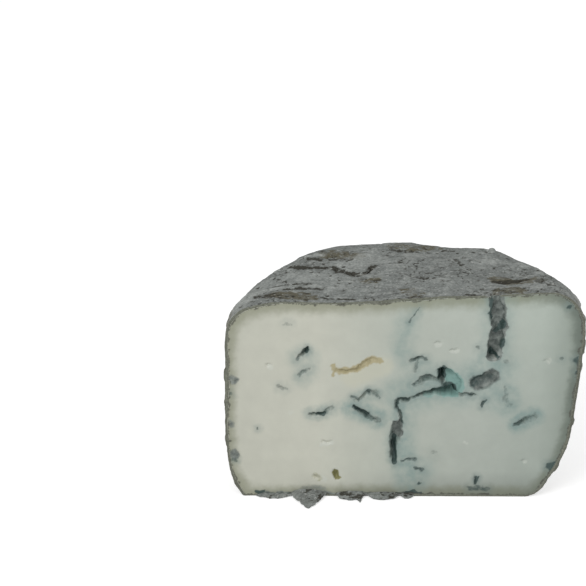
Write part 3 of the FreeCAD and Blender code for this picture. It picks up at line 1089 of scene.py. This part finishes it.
# ---- The pieces --------------------------------------------------------------------------------------------
@dataclass
class Paste:
    """The plug of paste behind the cut face, with its openings and its mould."""

    form: Form
    finish: PasteFinish = PasteFinish()
    cell: float = 0.43 * MM
    margin: float = 6 * MM
    thickness: float = 12.0 * MM

    # The openings' edges are torn sideways, their walls are crumbly, and the face itself is a little wavy.
    rag: float = 0.85 * MM
    rag_across: tuple[Lumps, Lumps] = (Lumps(2.8, 1), Lumps(1.2, 2))
    rag_up: tuple[Lumps, Lumps] = (Lumps(2.8, 3), Lumps(1.2, 4))
    fine_rag: float = 0.6  # how strong the finer tearing is beside the coarser
    crumb: float = 0.6 * MM
    crumbs: tuple[Lumps, Lumps] = (Lumps(2.2, 7), Lumps(1.0, 8))
    fine_crumb: float = 0.7
    waves: tuple[tuple[float, Lumps], ...] = ((0.06 * MM, Lumps(9, 5)), (0.02 * MM, Lumps(1.4, 6)))
    dry_filling: float = 0.45  # the dry slit has partly closed again

    # The band under the rind, which is wider at the top and the foot, the bare edge beside it, and the haze
    # round each vein.
    rim_width: float = 5.0 * MM
    wider_at_top: float = 0.4
    wider_at_foot: float = 0.3
    rim_waver: tuple[float, Lumps] = (0.6 * MM, Lumps(6, 9))
    edge_waver: tuple[float, Lumps] = (0.4 * MM, Lumps(3, 10))
    haze_mm: float = 2.6

    def build(self) -> Piece:
        """Builds the plug: the face, pressed in at its openings, backed, and trimmed to the rind's inside.

        Returns:
            The finished piece.
        """
        piece = self.face()
        self.press(piece)
        self.back(piece)
        carve(piece, self.form.plug("paste_room"), "INTERSECT")
        dress(piece, self.finish.material())
        return piece

    def face(self) -> Piece:
        """Makes a fine grid in the plane of the cut that looks forward.

        Returns:
            The grid, a little larger than the cut face.
        """
        low, high = self.form.low, self.form.high
        width, height = high.x - low.x + self.margin, high.z - low.z + self.margin
        bpy.ops.object.select_all(action="DESELECT")
        bpy.ops.mesh.primitive_grid_add(
            x_subdivisions=round(width / self.cell),
            y_subdivisions=round(height / self.cell),
            size=1,
            location=((low.x + high.x) / 2, self.form.cut, (low.z + high.z) / 2),
            rotation=(math.pi / 2, 0, 0),
        )
        piece = bpy.context.active_object
        piece.scale = (width, height, 1)
        piece.name = piece.data.name = "paste"
        bpy.ops.object.transform_apply(location=True, rotation=True, scale=True)
        return piece

    def depths(self, points: np.ndarray) -> np.ndarray:
        """How deep the solid's openings are behind places of the face.

        Args:
            points: places in the plane of the cut.

        Returns:
            Depths in metres, 0 on the face itself.
        """
        forward = Vector((0, 1, 0))
        found = np.zeros(len(points))
        for i, (x, _, z) in enumerate(points):
            hit = self.form.surface.ray_cast(Vector((x, self.form.cut - 0.001 * MM, z)), forward)[0]
            if hit is not None and hit.y - self.form.cut < self.form.plug_depth:
                found[i] = hit.y - self.form.cut
        return found

    def press(self, piece: Piece) -> None:
        """Presses the face in at its openings, and stores where each tint lies.

        Args:
            piece: the face.
        """
        points = points_of(piece)
        torn = points.copy()
        for axis, (lumps, crumbs) in ((0, self.rag_across), (2, self.rag_up)):
            torn[:, axis] += self.rag * (lumps.at(points) + self.fine_rag * crumbs.at(points))
        across, up = torn[:, 0] / MM, torn[:, 2] / MM
        depth = self.depths(torn) * (1 - self.dry_filling * covers(MARKS, Tint.DRY, across, up))
        wavy = sum(height * (1 + lumps.at(points)) for height, lumps in self.waves)
        lumps, crumbs = self.crumbs
        crumb = self.crumb * (lumps.at(points) + self.fine_crumb * crumbs.at(points))
        crumb *= smooth(0.3 * MM, 1.5 * MM, depth)
        bright = covers(MARKS, Tint.FLECK, across, up)
        points[:, 1] = self.form.cut + np.maximum(depth + crumb, 0) + wavy * (1 - bright)
        move_points(piece, points)
        modify(piece, "SMOOTH", factor=0.5, iterations=1, use_x=False, use_z=False)

        face_tints = [tint for tint in Tint if tint not in (Tint.CREASE, Tint.BROWN, Tint.PALE)]
        for tint in face_tints:
            paint(piece, tint.value, covers(MARKS + FOOT_MARKS, tint, across, up))
        paint(piece, "smear", covers(MARKS, Tint.VEIN, across, up, self.haze_mm))
        # The deeper a place lies in an opening, the more grey fluff: partly mould, partly painted shade in
        # the hollows.
        paint(piece, "deep_mould_and_shade", smooth(0.5 * MM, 5.0 * MM, depth))
        inside = self.form.rim_distance(torn)
        rim_place, edge_place = (
            inside + waver * lumps.at(points) for waver, lumps in (self.rim_waver, self.edge_waver)
        )
        width = 1 + self.wider_at_top * smooth(60, 80, up) + self.wider_at_foot * smooth(14, 3, up)
        paint(piece, "rim", 1 - smooth(0.12, 1.0, rim_place / (self.rim_width * width)))
        paint(piece, "edge", 1 - smooth(0.1 * MM, 1.0 * MM, edge_place))

    def back(self, piece: Piece) -> None:
        """Closes the face into a solid slab behind it.

        Args:
            piece: the face.
        """
        only(piece)
        bpy.ops.object.mode_set(mode="EDIT")
        bpy.ops.mesh.select_mode(type="EDGE")
        bpy.ops.mesh.select_all(action="DESELECT")
        bpy.ops.mesh.select_non_manifold()
        bpy.ops.mesh.extrude_region_move(TRANSFORM_OT_translate={"value": (0, self.thickness, 0)})
        bpy.ops.mesh.edge_face_add()
        bpy.ops.mesh.select_all(action="SELECT")
        bpy.ops.mesh.normals_make_consistent(inside=False)
        bpy.ops.object.mode_set(mode="OBJECT")


@dataclass
class Rind:
    """The rest of the half, under its mouldy rind, with a pocket for the paste."""

    form: Form
    finish: RindFinish = RindFinish()
    voxel: float = 0.7 * MM
    slab: float = 0.4 * MM  # closes the openings at the cut before the skin is made
    wander: float = 0.8  # how far the marks stray from their paths, in millimetres
    stray: tuple[Lumps, Lumps] = (Lumps(5, 17), Lumps(5, 18))
    drawn_out: float = 0.4  # how much the top's relief is drawn out across

    # The relief: (height in millimetres, its lumps).
    lumps: tuple[float, Lumps, Lumps] = (0.42, Lumps(11, 11), Lumps(5.5, 24))
    wrinkles: tuple[float, Lumps] = (0.14, Lumps(4.5, 12))
    fine: tuple[float, Lumps] = (0.2, Lumps(1.9, 13))
    scabs: tuple[float, Lumps] = (0.7, Lumps(5, 25))
    pits: tuple[float, Pits, Lumps] = (0.55, Pits(3.4, 14), Lumps(13, 19))
    creases: tuple[float, Lumps, Lumps, Lumps] = (0.5, Lumps(10, 15), Lumps(2.6, 16), Lumps(20, 20))
    ridge: float = 0.3
    fold: float = 0.45

    def build(self) -> Piece:
        """Builds the rind: the solid's own form, roughened, cut off at the cut and pocketed.

        Returns:
            The finished piece.
        """
        piece = copy_of(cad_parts[NODE], "rind")
        slab = self.form.tapered("slab", self.form.outline(0.3 * MM), self.slab, 0)
        only(piece)
        slab.select_set(True)
        bpy.ops.object.join()
        remesh(piece, self.voxel)
        self.roughen(piece)
        far = self.form.outside
        carve(piece, block("in_front", (-far, -far, -far / 2), (far, self.form.cut, far)), "DIFFERENCE")
        carve(piece, self.form.plug("pocket"), "DIFFERENCE")
        paint(piece, "section", points_of(piece)[:, 1] < self.form.cut + 0.02 * MM)
        dress(piece, self.finish.material())
        return piece

    def roughen(self, piece: Piece) -> None:
        """Moves the surface by its relief, and stores where it is raised, creased or bare.

        Args:
            piece: the skin of the half.
        """
        points, normals = points_of(piece), normals_of(piece)
        on_top = smooth(0.3, 0.8, normals[:, 2]) * (points[:, 2] > 0.6 * self.form.high.z)
        ones = np.ones(len(points))
        streaky = points * np.stack((1 - self.drawn_out * on_top, ones, ones), axis=1)
        across = points[:, 0] / MM + self.wander * self.stray[0].at(points)
        behind = (points[:, 1] - self.form.cut) / MM + self.wander * self.stray[1].at(points)
        fold, brown, ridge = (
            covers(TOP_MARKS, tint, across, behind) * on_top for tint in (Tint.CREASE, Tint.BROWN, Tint.PALE)
        )

        lump_height, lumps, small_lumps = self.lumps
        wrinkle_height, wrinkles = self.wrinkles
        fine_height, fine = self.fine
        scab_height, scab_lumps = self.scabs
        pit_depth, pits, pitted = self.pits
        crease_depth, lines, wobble, creased = self.creases
        pit = smooth(0.36, 0.14, pits.away(points)) * smooth(-0.2, 0.2, pitted.at(points))
        crease = smooth(0.08, 0.0, np.abs(lines.at(streaky) + 0.4 * wobble.at(points)))
        crease *= smooth(-0.05, 0.3, creased.at(points))
        height = lump_height * (lumps.at(points) + 0.5 * small_lumps.at(points))
        height += wrinkle_height * (1 - 2.4 * np.abs(wrinkles.at(streaky)))
        height += fine_height * fine.at(streaky) + self.ridge * ridge
        height += scab_height * smooth(0.12, 0.4, scab_lumps.at(points)) * (1 - on_top)
        height -= pit_depth * pit + crease_depth * crease + self.fold * fold
        height += covers(KNOBS, Tint.PALE, across, behind) * on_top

        # Near the cut the rind is flatter, so that its edge there stays a clean line.
        far = smooth(0, 12, (points[:, 1] - self.form.cut) / MM)
        height *= np.where(height > 0, 0.8 + 0.2 * far, 0.35 + 0.65 * far) * MM
        points += normals * height[:, None]
        points[:, 2] = np.maximum(points[:, 2], 0.0)
        move_points(piece, points)
        # Raised places are painted paler, partly dust and partly painted highlight.
        paint(piece, "raised_dust_and_highlight", np.clip(0.6 * smooth(0.15 * MM, 0.6 * MM, height) + 0.6 * ridge, 0, 1))
        # Creases, pits and folds are painted dark: partly bare rind, partly painted shade in the hollows.
        paint(piece, Tint.CREASE.value, np.clip(0.6 * crease + 0.6 * pit + fold, 0, 0.95))
        paint(piece, Tint.BROWN.value, brown)
        paint(piece, "wall", 1 - on_top)


@dataclass
class Tongue:
    """The scrap of rind that the knife dragged out under the cut face."""

    form: Form
    voxel: float = 0.45 * MM
    clear: float = 0.3 * MM
    right_end: float = 12 * MM
    height: float = 6 * MM
    root: float = 1.5 * MM  # how far its back end is pushed into the half
    end: float = 0.3 * MM  # how much of it counts as that end
    lean: float = 0.45  # how much lower a place shows for each millimetre that it lies further forward
    lumps: tuple[float, Lumps] = (0.45, Lumps(3.5, 21))
    crumbs: tuple[float, Lumps] = (0.4, Lumps(1.5, 22))
    dark_lumps: Lumps = Lumps(2.6, 23)

    def build(self, material: Material) -> Piece:
        """Builds the tongue from the part of the solid that stands out in front of the cut.

        Args:
            material: the rind's.

        Returns:
            The finished piece.
        """
        piece = copy_of(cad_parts[NODE], "rind_tongue")
        low, back = self.form.low, self.form.cut - self.clear
        remesh(piece, self.voxel)
        room = block("tongue_room", (low.x, low.y - 1 * MM, -1 * MM), (self.right_end, back, self.height))
        carve(piece, room, "INTERSECT")
        remesh(piece, self.voxel)

        points, normals = points_of(piece), normals_of(piece)
        height = sum(most * lumps.at(points) for most, lumps in (self.lumps, self.crumbs)) * MM
        at_root = points[:, 1] > back - self.end
        points += normals * (height * ~at_root)[:, None]
        points[at_root, 1] += self.root
        points[:, 2] = np.maximum(points[:, 2], 0.0)
        move_points(piece, points)

        # A mark's height is where it shows from in front and above, as the tongue reaches out under it.
        seen = (points[:, 2] + self.lean * (points[:, 1] - self.form.cut)) / MM
        marked = covers(FOOT_MARKS, Tint.VEIN, points[:, 0] / MM, seen)
        dark = np.maximum(smooth(0.3, 0.55, self.dark_lumps.at(points)), marked)
        # Raised places a little paler, partly dust and partly painted highlight, and sunken ones darker, as
        # painted shade.
        paint(piece, "raised_dust_and_highlight", 0.3 * smooth(0.1 * MM, 0.4 * MM, height))
        painted_sunken_shade = smooth(-0.1 * MM, -0.4 * MM, height)
        paint(piece, Tint.CREASE.value, np.clip(0.8 * dark + 0.4 * painted_sunken_shade, 0, 0.95))
        for name in (Tint.BROWN.value, "wall", "section"):
            paint(piece, name, np.zeros(len(points)))
        dress(piece, material)
        return piece


# ---- The studio --------------------------------------------------------------------------------------------
@dataclass(frozen=True)
class Lamp:
    """A square soft lamp that looks at the half."""

    name: str
    place: Corner
    size: float
    power: float
    target: Corner = (0, 0, 0.04)

    def hang(self) -> None:
        """Adds the lamp to the scene."""
        bpy.ops.object.select_all(action="DESELECT")
        bpy.ops.object.light_add(type="AREA", location=self.place)
        lamp = bpy.context.active_object
        lamp.name = self.name
        lamp.data.size = self.size
        lamp.data.energy = self.power
        towards = Vector(self.target) - lamp.location
        lamp.rotation_euler = towards.to_track_quat("-Z", "Y").to_euler()


@dataclass
class Studio:
    """White paper, soft light and a camera that looks down on the half."""

    form: Form
    paper: PaperFinish = PaperFinish()
    lamps: tuple[Lamp, ...] = (
        Lamp("key", (-0.55, -0.9, 0.85), 0.7, 6.1),
        Lamp("fill", (0.9, -0.8, 0.5), 0.8, 2.0),
    )
    world_light: float = 0.5
    floor_size: float = 12.0
    floor_gap: float = 0.05 * MM
    aim_height: float = 46.8 * MM
    elevation: float = 24.5
    azimuth: float = -2.0
    distance: float = 1.2
    lens: float = 175.95
    pitch: float = 22.465
    turn: float = 0.43
    sensor: float = 36.0
    nearest: float = 0.01

    def build(self) -> None:
        """Sets up the floor, the world, the lamps and the camera."""
        self.floor()
        self.world()
        for lamp in self.lamps:
            lamp.hang()
        self.camera()

    def floor(self) -> None:
        """Lays out the white paper, just under the half."""
        bpy.ops.object.select_all(action="DESELECT")
        bpy.ops.mesh.primitive_plane_add(size=self.floor_size, location=(0, 0, -self.floor_gap))
        floor = bpy.context.active_object
        floor.name = "studio_floor"
        floor.data.materials.append(self.paper.material())

    def world(self) -> None:
        """Surrounds the half with pale light, which the camera sees as white."""
        world = bpy.data.worlds.new("pale_studio")
        bpy.context.scene.world = world
        world.use_nodes = True
        tree = world.node_tree
        back = tree.nodes["Background"]
        back.inputs["Color"].default_value = linear(WHITE)
        strength = add_node(tree, RANGE, between(seen_by_camera(tree), 0.0, 1.0, self.world_light, 1.0))
        tree.links.new(strength.outputs[0], back.inputs["Strength"])

    def camera(self) -> None:
        """Stands the camera in front of the cut face, raised, and turns it a little past the half."""
        middle = Vector((0, self.form.cut, self.aim_height))
        rise, round_it = math.radians(self.elevation), math.radians(self.azimuth)
        level = math.cos(rise)
        back = Vector((math.sin(round_it) * level, -math.cos(round_it) * level, math.sin(rise)))
        turned = (math.radians(90 - self.pitch), 0, math.radians(self.turn))
        bpy.ops.object.select_all(action="DESELECT")
        bpy.ops.object.camera_add(location=middle + self.distance * back, rotation=turned)
        camera = bpy.context.active_object
        camera.data.lens = self.lens
        camera.data.sensor_width = self.sensor
        camera.data.clip_start = self.nearest
        bpy.context.scene.camera = camera


def main() -> None:
    """Builds the pieces in order, ties them to the solid and sets up the studio."""
    logging.basicConfig(level=logging.INFO, format="%(message)s")
    form = Form()
    LOG.info("cut at y = %.2f mm", form.cut / MM)
    paste = Paste(form).build()
    rind = Rind(form).build()
    tongue = Tongue(form).build(rind.data.materials[0])
    for piece in (paste, rind, tongue):
        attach(piece, BODY)
        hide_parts(NODE)
        LOG.info("%s: %d points, %d faces", piece.name, len(piece.data.vertices), len(piece.data.polygons))
    Studio(form).build()
    scene = bpy.context.scene
    scene.view_settings.view_transform = "Standard"


if __name__ == "__main__":
    main()
